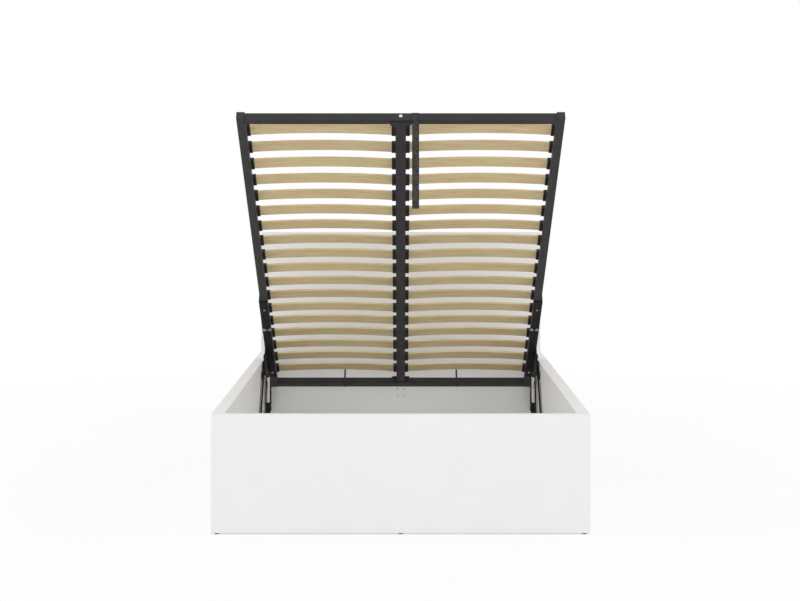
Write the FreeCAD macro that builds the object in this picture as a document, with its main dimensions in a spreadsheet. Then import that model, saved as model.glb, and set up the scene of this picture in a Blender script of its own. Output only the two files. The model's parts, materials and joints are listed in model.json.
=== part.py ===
import FreeCAD, Part
import math
import os
import Sketcher

# Lift-up storage bed: a white panel box with a headboard, and a steel slatted frame
# that rises at the foot end on two gas-strut linkages. Millimetres, +Z up, foot end at -Y.
# The frame is modelled raised, which is its rest position.

doc = FreeCAD.newDocument("lift_up_storage_bed")
sheet = doc.addObject("Spreadsheet::Sheet", "Sizes")

# Driving dimensions
DRIVING = [
    # Panel box
    ("bed_width", 1290.0, "outer width of the box and headboard"),
    ("inner_length", 2010.0, "clear length between front board and headboard"),
    ("panel_height", 404.0, "height of the front and side boards"),
    ("side_thickness", 44.0, "thickness of a side board"),
    ("front_thickness", 28.0, "thickness of the front board"),
    ("headboard_thickness", 38.0, "thickness of the headboard"),
    ("headboard_height", 952.0, "height of the headboard panel"),
    ("board_edge_radius", 1.5, "rounding of the board edges"),
    ("glide_height", 4.0, "floor glide height"),
    ("glide_radius", 8.5, "floor glide radius"),
    ("glide_inset", 20.0, "glide centre from the board's outer end"),
    ("pilot_spacing", 32.0, "spacing of the pilot holes in the headboard"),
    ("pilot_radius", 2.5, "radius of a pilot hole"),
    ("pilot_depth", 13.0, "depth of a pilot hole"),
    ("pilot_height", 216.0, "height of the pilot hole square above the floor"),
    # Storage floor
    ("batten_height", 16.0, "top of the battens above the floor"),
    ("batten_width", 22.0, "width of a side batten"),
    ("centre_batten_width", 60.0, "width of the centre batten"),
    ("floor_thickness", 4.0, "thickness of a storage floor sheet"),
    ("floor_gap", 1.0, "gap round each floor sheet"),
    # Corner fittings
    ("corner_leg", 45.0, "leg of a corner bracket"),
    ("corner_wall", 3.0, "sheet thickness of a corner bracket"),
    ("corner_height", 70.0, "height of a corner bracket"),
    ("corner_base", 30.0, "corner bracket's lower end above the floor"),
    ("hook_plate_length", 50.0, "plate on a side board at the headboard"),
    ("hook_plate_wall", 4.0, "thickness of that plate"),
    ("hook_plate_base", 134.0, "lower end of that plate above the floor"),
    ("hook_plate_height", 190.0, "height of that plate"),
    # Slatted frame
    ("frame_length", 1988.0, "length of the side rails"),
    ("frame_side_gap", 15.0, "gap between a side rail and the side board"),
    ("raise_angle", 35.6, "tilt of the raised frame"),
    ("raised_end_inset", 155.0, "raised head end in front of the headboard"),
    ("raised_end_height", 262.0, "raised head end's lower edge above the floor"),
    ("closed_end_inset", 8.0, "closed head end in front of the headboard"),
    ("closed_height", 290.0, "closed frame's underside above the floor"),
    ("tube_size", 30.0, "square tube of rails and head bar"),
    ("tube_wall", 1.5, "wall of the steel tubes"),
    ("tube_corner", 2.5, "outer corner radius of the tubes"),
    ("foot_bar_width", 25.0, "width of the foot bar along the rails"),
    ("foot_bar_setback", 4.0, "foot bar's outer face in from the ends of the rails"),
    ("beam_width", 38.0, "width of the centre beam"),
    ("cap_thickness", 4.0, "rail end cap beyond the tube"),
    ("cap_plug_depth", 14.0, "end cap plug inside the tube"),
    ("cap_clearance", 0.2, "gap between cap plug and tube"),
    # Slats
    ("slat_count", 18, "slats in a column"),
    ("slat_width", 53.0, "width of a slat"),
    ("slat_thickness", 8.0, "thickness of a slat"),
    ("slat_bow", 11.0, "rise of a slat at mid length"),
    ("slat_head_margin", 102.5, "last slat's centre from the head end of the rails"),
    ("slat_foot_margin", 117.5, "first slat's centre from the foot end of the rails"),
    ("slat_seat", 6.0, "slat's lower face above the rail top at its ends"),
    ("slat_clearance", 0.3, "gap round a slat in its holder"),
    ("holder_wall", 4.0, "end wall of a slat holder"),
    ("holder_side", 1.5, "side wall of a slat holder"),
    ("holder_lip_rise", 4.3, "underside of a holder's overhang above the rail top"),
    ("holder_height", 18.0, "height of a slat holder"),
    ("holder_reach", 10.5, "rail holder beyond the rail's inner face"),
    ("holder_depth", 35.0, "depth of a rail holder across the rail"),
    ("centre_holder_reach", 14.0, "centre holder beyond the beam's side"),
    ("centre_holder_web", 12.0, "web between the two slat ends of a centre holder"),
    # Welded and bolted fittings of the frame
    ("joint_plate_width", 78.0, "width of the plates at the beam's ends"),
    ("head_plate_length", 30.0, "length of the head plates along the beam"),
    ("foot_plate_length", 20.0, "length of the foot plate along the beam"),
    ("joint_plate_wall", 3.0, "thickness of those plates"),
    ("head_plate_start", 14.0, "lower head plate from the head end"),
    ("top_plate_start", 8.0, "upper head plate from the head end"),
    ("foot_plate_inset", 11.0, "foot plate in from the foot bar's outer face"),
    ("foot_bolt_radius", 6.5, "head radius of the bolt in the foot bar"),
    ("foot_bolt_head", 4.0, "head height of that bolt"),
    ("foot_bolt_shank", 4.0, "shank radius of that bolt"),
    ("hoop_half_width", 252.0, "mattress stop leg from the middle"),
    ("hoop_wire", 4.0, "wire radius of the mattress stop"),
    ("hoop_top", 96.0, "mattress stop above the frame's underside"),
    ("hoop_tail", 18.0, "mattress stop leg below the frame's underside"),
    ("hoop_bend", 22.0, "bend radius of the mattress stop"),
    # Pull strap
    ("strap_offset", 53.0, "strap centre right of the middle"),
    ("strap_width", 25.0, "width of the strap"),
    ("strap_thickness", 2.5, "thickness of the strap"),
    ("strap_drop", 317.5, "free length below the foot bar"),
    ("strap_clearance", 0.3, "gap between strap and foot bar"),
    # Lift linkage, distances along the rail from its head end and below its underside
    ("bracket_start", 100.0, "lift bracket's start from the head end"),
    ("bracket_length", 645.0, "length of the lift bracket"),
    ("bracket_web", 5.0, "lift bracket's upright leg"),
    ("bracket_flange", 4.0, "lift bracket's flat leg"),
    ("pivot_drop", 16.0, "upper arm pivots below the frame's underside"),
    ("rear_pivot_along", 188.0, "rear arm's upper pivot from the head end"),
    ("front_pivot_along", 303.0, "front arm's upper pivot from the head end"),
    ("rear_arm_length", 235.0, "rear arm between pivots"),
    ("front_arm_length", 385.0, "front arm between pivots"),
    ("arm_thickness", 5.0, "thickness of an arm"),
    ("arm_radius", 15.0, "half width of an arm"),
    ("layer_gap", 0.5, "side gap between the linkage's layers"),
    ("base_plate_thickness", 4.0, "thickness of a base plate"),
    ("base_plate_margin", 30.0, "base plate around its pivots"),
    ("base_plate_corner", 14.0, "corner radius of a base plate"),
    ("lug_radius", 17.0, "rounding of the bracket's pivot lug"),
    ("cheek_start", 134.0, "lift bracket's hanging cheek from the head end"),
    ("cheek_end", 364.0, "foot-side end of the cheek at the rail"),
    ("cheek_tip_start", 322.0, "head-side end of the cheek's lower tip"),
    ("cheek_tip_end", 334.0, "foot-side end of the cheek's lower tip"),
    ("cheek_tip_drop", 117.0, "cheek's lower tip below the frame's underside"),
    ("cheek_tip_slope", 5.0, "rise across the cheek's lower tip"),
    ("pin_radius", 5.0, "radius of the arm pivots"),
    ("pin_head_radius", 9.0, "head radius of the arm pivots"),
    ("pin_head", 3.0, "head height of the arm pivots"),
    ("running_clearance", 0.06, "radial play of a pivot"),
    ("open_slot_travel", 9.6, "travel of the front arm's upper pivot in its slot"),
    ("open_slot_angle", 19.5, "slope of that slot to the rail"),
    ("open_slot_play", 1.4, "side play of that slot"),
    # Gas strut
    ("strut_arm_along", 262.0, "strut pivot along the front arm"),
    ("strut_arm_offset", 37.0, "strut pivot above the front arm's line"),
    ("strut_foot_inset", 441.0, "strut's lower pivot in front of the headboard"),
    ("strut_foot_height", 66.0, "strut's lower pivot above the floor"),
    ("strut_inset", 13.0, "strut's centre plane inside the rail's outer face"),
    ("strut_tube_radius", 9.0, "radius of the strut's cylinder"),
    ("strut_tube_wall", 1.5, "wall of the strut's cylinder"),
    ("strut_rod_radius", 5.0, "radius of the piston rod"),
    ("strut_gland", 14.0, "length of the rod guide"),
    ("strut_eye_radius", 12.0, "radius of an eye"),
    ("strut_eye_width", 12.0, "width of an eye"),
    ("strut_closed_reach", 26.0, "rod end to cylinder end when closed"),
    ("strut_piston", 9.0, "length of the piston"),
    ("strut_guide", 40.0, "rod inside the cylinder when extended"),
    ("strut_pin_radius", 4.0, "radius of the strut's pins"),
    ("strut_pin_head_radius", 8.0, "head radius of the strut's pins"),
    ("strut_open_play", 3.0, "radial play at the rod's eye"),
    # Bracket bolts
    ("small_bolt_head", 4.5, "head radius of the end bolts"),
    ("large_bolt_head", 7.5, "head radius of the middle bolts"),
    ("bolt_head_height", 4.0, "head height of the bracket bolts"),
    ("bolt_shank", 3.0, "shank radius of the bracket bolts"),
    ("bolt_hole_play", 0.1, "radial play of a bolt hole"),
    ("rear_bolt_along", 143.0, "rear end bolt from the head end"),
    ("middle_bolt_along", 517.5, "middle bolts from the head end"),
    ("front_bolt_along", 681.0, "front end bolt from the head end"),
    ("middle_bolt_spread", 20.0, "distance between the two middle bolts"),
]
for row, (alias, value, meaning) in enumerate(DRIVING, start=1):
    sheet.set(f"A{row}", meaning)
    sheet.set(f"B{row}", str(value))
    sheet.setAlias(f"B{row}", alias)
doc.recompute()


def size(alias):
    return float(sheet.get(alias))


def value(expression):
    return float(sheet.evalExpression(expression))


def derive(alias, number, meaning):
    # Adds a worked-out size to the sheet, so that features can be bound to it.
    row = len(DRIVING) + 1 + len(derived)
    derived.append(alias)
    sheet.set(f"A{row}", meaning)
    sheet.set(f"B{row}", repr(float(number)))
    sheet.setAlias(f"B{row}", alias)


derived = []
V = FreeCAD.Vector
X_AXIS = V(1, 0, 0)


# Linkage geometry in the side plane, as (y, z) pairs
def along_frame(end, tilt, along, drop):
    # A point of the frame: along the rail from its head end, and below its underside.
    c, s = math.cos(tilt), math.sin(tilt)
    return (end[0] - along * c - drop * s, end[1] + along * s - drop * c)


def link_base(start, finish, length):
    # The fixed pivot, below the path, of an arm whose tip goes from start to finish.
    mid = ((start[0] + finish[0]) / 2, (start[1] + finish[1]) / 2)
    dy, dz = finish[0] - start[0], finish[1] - start[1]
    chord = math.hypot(dy, dz)
    height = math.sqrt(length**2 - chord**2 / 4)
    return (mid[0] + dz / chord * height, mid[1] - dy / chord * height)


def heading(start, finish):
    return math.degrees(math.atan2(finish[1] - start[1], finish[0] - start[0]))


total_length = size("front_thickness") + size("inner_length") + size("headboard_thickness")
front_face = -total_length / 2
front_inner = front_face + size("front_thickness")
headboard_face = front_inner + size("inner_length")
side_inner = size("bed_width") / 2 - size("side_thickness")
rail_outer = side_inner - size("frame_side_gap")
tilt = math.radians(size("raise_angle"))

raised_end = (headboard_face - size("raised_end_inset"), size("raised_end_height"))
closed_end = (headboard_face - size("closed_end_inset"), size("closed_height"))
rear_top = along_frame(raised_end, tilt, size("rear_pivot_along"), size("pivot_drop"))
rear_top_closed = along_frame(closed_end, 0, size("rear_pivot_along"), size("pivot_drop"))
front_top = along_frame(raised_end, tilt, size("front_pivot_along"), size("pivot_drop"))
front_top_closed = along_frame(closed_end, 0, size("front_pivot_along"), size("pivot_drop"))
rear_base = link_base(rear_top, rear_top_closed, size("rear_arm_length"))
front_base = link_base(front_top, front_top_closed, size("front_arm_length"))
rear_angle = heading(rear_base, rear_top)
rear_swing = heading(rear_base, rear_top_closed) - rear_angle
front_angle = heading(front_base, front_top)
front_swing = heading(front_base, front_top_closed) - front_angle


def strut_tip(arm_degrees):
    # The strut's upper pivot, carried by the front arm.
    c, s = math.cos(math.radians(arm_degrees)), math.sin(math.radians(arm_degrees))
    along, offset = size("strut_arm_along"), size("strut_arm_offset")
    return (front_base[0] + along * c - offset * s, front_base[1] + along * s + offset * c)


strut_foot = (headboard_face - size("strut_foot_inset"), size("strut_foot_height"))
strut_top = strut_tip(front_angle)
strut_top_closed = strut_tip(front_angle + front_swing)
strut_angle = heading(strut_foot, strut_top)
strut_swing = heading(strut_foot, strut_top_closed) - strut_angle
strut_open_length = math.dist(strut_foot, strut_top)
strut_closed_length = math.dist(strut_foot, strut_top_closed)

# Worked-out sizes that features are bound to
slat_span = size("frame_length") - size("slat_head_margin") - size("slat_foot_margin")
slat_pitch = slat_span / (size("slat_count") - 1)
holder_mouth_x = rail_outer - size("tube_size") - size("holder_reach")
slat_outer = holder_mouth_x + size("holder_depth") - size("holder_wall")
slat_inner = size("centre_holder_web") / 2
slat_length = slat_outer - slat_inner
slat_radius = slat_length**2 / (8 * size("slat_bow")) + size("slat_bow") / 2
derive("rail_outer", rail_outer, "outer face of a rail from the middle")
derive("side_inner", side_inner, "inner face of a side board from the middle")
derive("slat_pitch", slat_pitch, "slat pitch")
derive("slat_outer", slat_outer, "outer end of a slat from the middle")
derive("slat_inner", slat_inner, "inner end of a slat from the middle")
derive("slat_radius", slat_radius, "radius of a slat's lower face")
derive("strut_open_length", strut_open_length, "strut between pivots, extended")
derive("strut_closed_length", strut_closed_length, "strut between pivots, closed")
doc.recompute()

frame_pose = FreeCAD.Placement(V(0, *raised_end), FreeCAD.Rotation(X_AXIS, -size("raise_angle")))
world_pose = FreeCAD.Placement()
nodes = []


def node(obj, label):
    # Names a finished sub-part, which is exported under that name.
    obj.Label = label
    nodes.append(obj)
    return obj


# Sketch and feature helpers. Every measure is an expression on the sheet.
def sz(alias):
    return f"Sizes.{alias}"


def new_body(name, pose=world_pose):
    body = doc.addObject("PartDesign::Body", name)
    body.Placement = pose
    return body


def new_sketch(body, role, offset="0"):
    # A sketch on an origin plane, moved along the plane's normal by offset.
    sketch = body.newObject("Sketcher::SketchObject", body.Name + "_sketch")
    plane = [f for f in body.Origin.OriginFeatures if f.Role == role][0]
    sketch.AttachmentSupport = (plane, "")
    sketch.MapMode = "FlatFace"
    sketch.setExpression("AttachmentOffset.Base.z", offset)
    return sketch


def measure(sketch, kind, first, second, expression):
    # A driving distance between two sketch points, bound to the sheet.
    index = sketch.addConstraint(Sketcher.Constraint(kind, *first, *second, value(expression)))
    sketch.setExpression(f"Constraints[{index}]", expression)


ORIGIN = (-1, 1)


def pin_point(sketch, point, x, y):
    # Holds a sketch point at (x, y) from the origin.
    measure(sketch, "DistanceX", ORIGIN, point, x)
    measure(sketch, "DistanceY", ORIGIN, point, y)


def outline(sketch, corners):
    # A closed run of straight lines through corners given as pairs of expressions.
    points = [V(value(x), value(y), 0) for x, y in corners]
    count = len(points)
    lines = [sketch.addGeometry(Part.LineSegment(points[i], points[(i + 1) % count])) for i in range(count)]
    for i in range(count):
        sketch.addConstraint(Sketcher.Constraint("Coincident", lines[i], 2, lines[(i + 1) % count], 1))
        pin_point(sketch, (lines[i], 1), *corners[i])


def rectangle(sketch, x, y, width, height):
    x_end, y_end = f"{x} + {width}", f"{y} + {height}"
    outline(sketch, [(x, y), (x_end, y), (x_end, y_end), (x, y_end)])


def circle(sketch, x, y, radius):
    index = sketch.addGeometry(Part.Circle(V(value(x), value(y), 0), V(0, 0, 1), value(radius)))
    pin_point(sketch, (index, 3), x, y)
    bound = sketch.addConstraint(Sketcher.Constraint("Radius", index, value(radius)))
    sketch.setExpression(f"Constraints[{bound}]", radius)


def slot(sketch, start, finish, radius):
    # A round-ended slot between two centres, each a pair of expressions.
    a, b = V(value(start[0]), value(start[1]), 0), V(value(finish[0]), value(finish[1]), 0)
    r = value(radius)
    turn = math.atan2(b.y - a.y, b.x - a.x)
    quarter = math.pi / 2
    side = V(-math.sin(turn), math.cos(turn), 0) * r
    round_a, round_b = (Part.Circle(centre, V(0, 0, 1), r) for centre in (a, b))
    arc_a = sketch.addGeometry(Part.ArcOfCircle(round_a, turn + quarter, turn + 3 * quarter))
    arc_b = sketch.addGeometry(Part.ArcOfCircle(round_b, turn - quarter, turn + quarter))
    low = sketch.addGeometry(Part.LineSegment(a - side, b - side))
    high = sketch.addGeometry(Part.LineSegment(b + side, a + side))
    ring = (arc_a, low, arc_b, high)
    for first, second in zip(ring, ring[1:] + ring[:1]):
        sketch.addConstraint(Sketcher.Constraint("Tangent", first, 2, second, 1))
    pin_point(sketch, (arc_a, 3), *start)
    pin_point(sketch, (arc_b, 3), *finish)
    bound = sketch.addConstraint(Sketcher.Constraint("Radius", arc_a, r))
    sketch.setExpression(f"Constraints[{bound}]", radius)


def pad(body, sketch, length, both_ways=False, back=False):
    feature = body.newObject("PartDesign::Pad", body.Name + "_pad")
    feature.Profile = sketch
    feature.Midplane = both_ways
    feature.Reversed = back
    feature.setExpression("Length", length)
    doc.recompute()
    return feature


def pocket(body, sketch, length, both_ways=False, back=False):
    before = body.Shape.Volume
    feature = body.newObject("PartDesign::Pocket", body.Name + "_pocket")
    feature.Profile = sketch
    feature.Midplane = both_ways
    feature.Reversed = back
    feature.setExpression("Length", length)
    doc.recompute()
    if not body.Shape.Volume < before:
        raise RuntimeError(f"the pocket in {body.Name} cuts nothing")
    return feature


def round_edges(body, feature, radius, wanted):
    # Rounds the edges of the last feature that the test picks.
    names = [f"Edge{i}" for i, edge in enumerate(feature.Shape.Edges, start=1) if wanted(edge)]
    fillet = body.newObject("PartDesign::Fillet", body.Name + "_round")
    fillet.Base = (feature, names)
    fillet.setExpression("Radius", radius)
    doc.recompute()
    return fillet


def runs_along(axis):
    # A test for straight edges along one axis of the body.
    def wanted(edge):
        if not isinstance(edge.Curve, Part.Line):
            return False
        return abs(edge.Curve.Direction.dot(axis)) > 0.999
    return wanted


def mirrored(source, label):
    # The right-hand twin of a left-hand piece.
    twin = doc.addObject("Part::Mirroring", label)
    twin.Source = source
    twin.Normal = X_AXIS
    doc.recompute()
    return node(twin, label)


def group(label, members):
    # One node that holds several separate solids.
    compound = doc.addObject("Part::Compound", label)
    compound.Links = members
    doc.recompute()
    return node(compound, label)


# Panel box
def board(label, role, x, y, width, height, thickness, offset):
    # A panel drawn on an origin plane, with softly rounded edges.
    body = new_body(label)
    sketch = new_sketch(body, role, offset)
    rectangle(sketch, x, y, width, height)
    block = pad(body, sketch, thickness)
    round_edges(body, block, sz("board_edge_radius"), lambda edge: True)
    return body


derive("front_face", front_face, "front board's outer face")
derive("headboard_face", headboard_face, "headboard's inner face")
derive("front_inner", front_inner, "front board's inner face")
doc.recompute()

half_width = "Sizes.bed_width / 2"
front_board = board("front_board", "XZ_Plane", f"-{half_width}", sz("glide_height"), sz("bed_width"),
                    sz("panel_height"), sz("front_thickness"), f"-{sz('front_inner')}")
node(front_board, "front_board")

left_side = board("left_side_board", "YZ_Plane", sz("front_inner"), sz("glide_height"), sz("inner_length"),
                  sz("panel_height"), sz("side_thickness"), f"-{half_width}")
node(left_side, "left_side_board")
mirrored(left_side, "right_side_board")

headboard = new_body("headboard")
headboard_sketch = new_sketch(headboard, "XZ_Plane", "-Sizes.headboard_face - Sizes.headboard_thickness")
rectangle(headboard_sketch, f"-{half_width}", sz("glide_height"), sz("bed_width"), sz("headboard_height"))
headboard_block = pad(headboard, headboard_sketch, sz("headboard_thickness"))
round_edges(headboard, headboard_block, sz("board_edge_radius"), lambda edge: True)
pilot_sketch = new_sketch(headboard, "XZ_Plane", f"-{sz('headboard_face')}")
for across in (-1, 1):
    for up in (-1, 1):
        circle(pilot_sketch, f"{across} * Sizes.pilot_spacing / 2",
               f"Sizes.pilot_height + {up} * Sizes.pilot_spacing / 2", sz("pilot_radius"))
pocket(headboard, pilot_sketch, sz("pilot_depth"))
node(headboard, "headboard")


def glide(name, x, y):
    disc = doc.addObject("Part::Cylinder", name)
    disc.setExpression("Radius", sz("glide_radius"))
    disc.setExpression("Height", sz("glide_height"))
    disc.setExpression("Placement.Base.x", x)
    disc.setExpression("Placement.Base.y", y)
    return disc


glide_columns = {"left": "-Sizes.bed_width / 2 + Sizes.glide_inset", "middle": "0",
                 "right": "Sizes.bed_width / 2 - Sizes.glide_inset"}
glide_rows = {"front": "Sizes.front_face + Sizes.front_thickness / 2",
              "rear": "Sizes.headboard_face + Sizes.headboard_thickness / 2"}
glides = []
for row, y in glide_rows.items():
    for column, x in glide_columns.items():
        glides.append(glide(f"glide_{row}_{column}", x, y))
side_middle = "(Sizes.front_inner + Sizes.headboard_face) / 2"
for column in ("left", "right"):
    glides.append(glide(f"glide_side_{column}", glide_columns[column], side_middle))
group("floor_glides", glides)


# Storage floor on its battens
def strip(label, x, y, z, width, length, height):
    block = doc.addObject("Part::Box", label)
    block.setExpression("Length", width)
    block.setExpression("Width", length)
    block.setExpression("Height", height)
    for axis, place in zip("xyz", (x, y, z)):
        block.setExpression(f"Placement.Base.{axis}", place)
    doc.recompute()
    return block


batten = strip("left_batten", "-Sizes.side_inner", sz("front_inner"), sz("glide_height"), sz("batten_width"),
               sz("inner_length"), "Sizes.batten_height - Sizes.glide_height")
node(batten, "left_batten")
mirrored(batten, "right_batten")
centre_batten = strip("centre_batten", "-Sizes.centre_batten_width / 2", sz("front_inner"), "0",
                      sz("centre_batten_width"), sz("inner_length"), sz("batten_height"))
node(centre_batten, "centre_batten")
floor_sheet = strip("left_floor_sheet", "-Sizes.side_inner + Sizes.floor_gap",
                    "Sizes.front_inner + Sizes.floor_gap", sz("batten_height"),
                    "Sizes.side_inner - 1.5 * Sizes.floor_gap",
                    "Sizes.inner_length - 2 * Sizes.floor_gap", sz("floor_thickness"))
node(floor_sheet, "left_floor_sheet")
mirrored(floor_sheet, "right_floor_sheet")


# Corner fittings: angles at the front board, flat plates on the side boards at the headboard
def corner_bracket(name, side):
    body = new_body(name)
    sketch = new_sketch(body, "XY_Plane", sz("corner_base"))
    end_face = sz("front_inner")
    x0 = f"{side} * Sizes.side_inner"
    x_leg = f"{side} * (Sizes.side_inner - Sizes.corner_leg)"
    x_wall = f"{side} * (Sizes.side_inner - Sizes.corner_wall)"
    y_leg = f"{end_face} + Sizes.corner_leg"
    y_wall = f"{end_face} + Sizes.corner_wall"
    outline(sketch, [(x0, end_face), (x_leg, end_face), (x_leg, y_wall),
                     (x_wall, y_wall), (x_wall, y_leg), (x0, y_leg)])
    pad(body, sketch, sz("corner_height"))
    return body


group("corner_brackets", [corner_bracket("corner_left", -1), corner_bracket("corner_right", 1)])
hook_plate_rear = "Sizes.headboard_face - Sizes.hook_plate_length"
group("headboard_plates", [
    strip(f"headboard_plate_{name}", x, hook_plate_rear, sz("hook_plate_base"), sz("hook_plate_wall"),
          sz("hook_plate_length"), sz("hook_plate_height"))
    for name, x in (("left", "-Sizes.side_inner"), ("right", "Sizes.side_inner - Sizes.hook_plate_wall"))])

# Slatted frame, drawn flat with its origin at the head end's lower edge, then tilted
frame_axis = V(0, 1, 0)


def bolt_holes(body, places):
    # Clearance holes through the underside of a piece, at (x, along) places.
    sketch = new_sketch(body, "XY_Plane", "-Sizes.bracket_flange")
    for x, along in places:
        circle(sketch, x, f"-{along}", "Sizes.bolt_shank + Sizes.bolt_hole_play")
    pocket(body, sketch, "Sizes.bracket_flange + Sizes.tube_wall", back=True)


rail_middle = "-Sizes.rail_outer + Sizes.tube_size / 2"
bolt_places = [
    (rail_middle, sz("rear_bolt_along")),
    (f"{rail_middle} - Sizes.middle_bolt_spread / 2", sz("middle_bolt_along")),
    (f"{rail_middle} + Sizes.middle_bolt_spread / 2", sz("middle_bolt_along")),
    (rail_middle, sz("front_bolt_along")),
]

left_rail = new_body("left_rail", frame_pose)
rail_sketch = new_sketch(left_rail, "XZ_Plane")
rectangle(rail_sketch, "-Sizes.rail_outer", "0", sz("tube_size"), sz("tube_size"))
rectangle(rail_sketch, "-Sizes.rail_outer + Sizes.tube_wall", sz("tube_wall"),
          "Sizes.tube_size - 2 * Sizes.tube_wall", "Sizes.tube_size - 2 * Sizes.tube_wall")
rail_pad = pad(left_rail, rail_sketch, sz("frame_length"))


def outer_long_edges(edge):
    if not runs_along(frame_axis)(edge):
        return False
    place = edge.CenterOfMass
    across = abs(abs(place.x) - rail_outer + size("tube_size") / 2)
    return across > size("tube_size") / 2 - size("tube_wall") / 2 and \
        abs(place.z - size("tube_size") / 2) > size("tube_size") / 2 - size("tube_wall") / 2


round_edges(left_rail, rail_pad, sz("tube_corner"), outer_long_edges)
bolt_holes(left_rail, bolt_places)
node(left_rail, "left_rail")
mirrored(left_rail, "right_rail")


def cross_bar(label, along, width, depth, half_length):
    # A tube across the frame; along is its middle, measured from the head end.
    body = new_body(label, frame_pose)
    sketch = new_sketch(body, "YZ_Plane")
    rectangle(sketch, f"-({along}) - {width} / 2", "0", width, depth)
    rectangle(sketch, f"-({along}) - {width} / 2 + Sizes.tube_wall", sz("tube_wall"),
              f"{width} - 2 * Sizes.tube_wall", f"{depth} - 2 * Sizes.tube_wall")
    pad(body, sketch, f"2 * ({half_length})", both_ways=True)
    return body


rail_inner = "Sizes.rail_outer - Sizes.tube_size"
foot_face = "Sizes.frame_length - Sizes.foot_bar_setback"
foot_bar = cross_bar("foot_bar", f"{foot_face} - Sizes.foot_bar_width / 2", sz("foot_bar_width"),
                     sz("tube_size"), rail_inner)
foot_hole = new_sketch(foot_bar, "XZ_Plane", foot_face)
circle(foot_hole, "0", "Sizes.tube_size / 2", "Sizes.foot_bolt_shank + Sizes.bolt_hole_play")
pocket(foot_bar, foot_hole, "2 * Sizes.tube_size", both_ways=True)
node(foot_bar, "foot_bar")
node(cross_bar("head_bar", "Sizes.tube_size / 2", sz("tube_size"), sz("tube_size"), rail_inner), "head_bar")

centre_beam = new_body("centre_beam", frame_pose)
beam_sketch = new_sketch(centre_beam, "XZ_Plane", sz("tube_size"))
rectangle(beam_sketch, "-Sizes.beam_width / 2", "0", sz("beam_width"), sz("tube_size"))
rectangle(beam_sketch, "-Sizes.beam_width / 2 + Sizes.tube_wall", sz("tube_wall"),
          "Sizes.beam_width - 2 * Sizes.tube_wall", "Sizes.tube_size - 2 * Sizes.tube_wall")
pad(centre_beam, beam_sketch, f"{foot_face} - Sizes.foot_bar_width - Sizes.tube_size")
node(centre_beam, "centre_beam")

# Welded plates at the joints of the beam with the head bar and the foot bar
def joint_plate(label, along, length, height):
    # A round-cornered plate; along is its head-side edge from the head end.
    body = new_body(label, frame_pose)
    sketch = new_sketch(body, "XY_Plane", height)
    rectangle(sketch, "-Sizes.joint_plate_width / 2", f"-({along}) - {length}",
              sz("joint_plate_width"), length)
    block = pad(body, sketch, sz("joint_plate_wall"))
    round_edges(body, block, "2 * Sizes.joint_plate_wall", runs_along(V(0, 0, 1)))
    return node(body, label)


under_frame = "-Sizes.joint_plate_wall"
foot_plate_start = f"{foot_face} - Sizes.foot_plate_inset - Sizes.foot_plate_length"
joint_plate("head_joint_plate", sz("head_plate_start"), sz("head_plate_length"), under_frame)
joint_plate("head_top_plate", sz("top_plate_start"), sz("head_plate_length"), sz("tube_size"))
joint_plate("foot_joint_plate", foot_plate_start, sz("foot_plate_length"), under_frame)


def turned(name, pose, steps):
    # A turned piece: stacked cylinders along its own Z axis, each (start, length, radius).
    body = new_body(name, pose)
    for start, length, radius in steps:
        sketch = new_sketch(body, "XY_Plane", start)
        circle(sketch, "0", "0", radius)
        pad(body, sketch, length)
    return body


def frame_place(x, along, height, rotation):
    return frame_pose.multiply(FreeCAD.Placement(V(x, -along, height), rotation))


TOWARDS_HEAD = FreeCAD.Rotation(X_AXIS, -90)
UPWARD = FreeCAD.Rotation()
INWARD = FreeCAD.Rotation(V(0, 1, 0), 90)

foot_bolt_pose = frame_place(0, value(foot_face), size("tube_size") / 2, TOWARDS_HEAD)
foot_bolt = turned("foot_bolt", foot_bolt_pose,
                   [("-Sizes.foot_bolt_head", sz("foot_bolt_head"), sz("foot_bolt_radius")),
                    ("0", sz("foot_bar_width"), sz("foot_bolt_shank"))])
node(foot_bolt, "foot_bolt")


def end_cap(name, along, outward):
    # A square plug in a rail's end, with a lid the size of the tube.
    body = new_body(name, frame_pose)
    lid = new_sketch(body, "XZ_Plane", along)
    rectangle(lid, "-Sizes.rail_outer", "0", sz("tube_size"), sz("tube_size"))
    lid_pad = pad(body, lid, sz("cap_thickness"), back=outward < 0)
    round_edges(body, lid_pad, "Sizes.cap_thickness * 0.4", lambda edge: True)
    plug = new_sketch(body, "XZ_Plane", along)
    inset = "Sizes.tube_wall + Sizes.cap_clearance"
    rectangle(plug, f"-Sizes.rail_outer + {inset}", inset, f"Sizes.tube_size - 2 * ({inset})",
              f"Sizes.tube_size - 2 * ({inset})")
    pad(body, plug, sz("cap_plug_depth"), back=outward > 0)
    return body


left_caps = [end_cap("cap_head", "0", -1), end_cap("cap_foot", sz("frame_length"), 1)]
right_caps = []
for cap in left_caps:
    twin = doc.addObject("Part::Mirroring", cap.Name + "_right")
    twin.Source = cap
    twin.Normal = X_AXIS
    right_caps.append(twin)
group("rail_end_caps", left_caps + right_caps)


# Slats and their holders. A slat is an arc that rises towards the mattress at mid length.
slat_centre_x = "(Sizes.slat_outer + Sizes.slat_inner) / 2"
slat_low = "Sizes.tube_size + Sizes.slat_seat"
arc_centre_z = f"{slat_low} + Sizes.slat_bow - Sizes.slat_radius"


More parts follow.
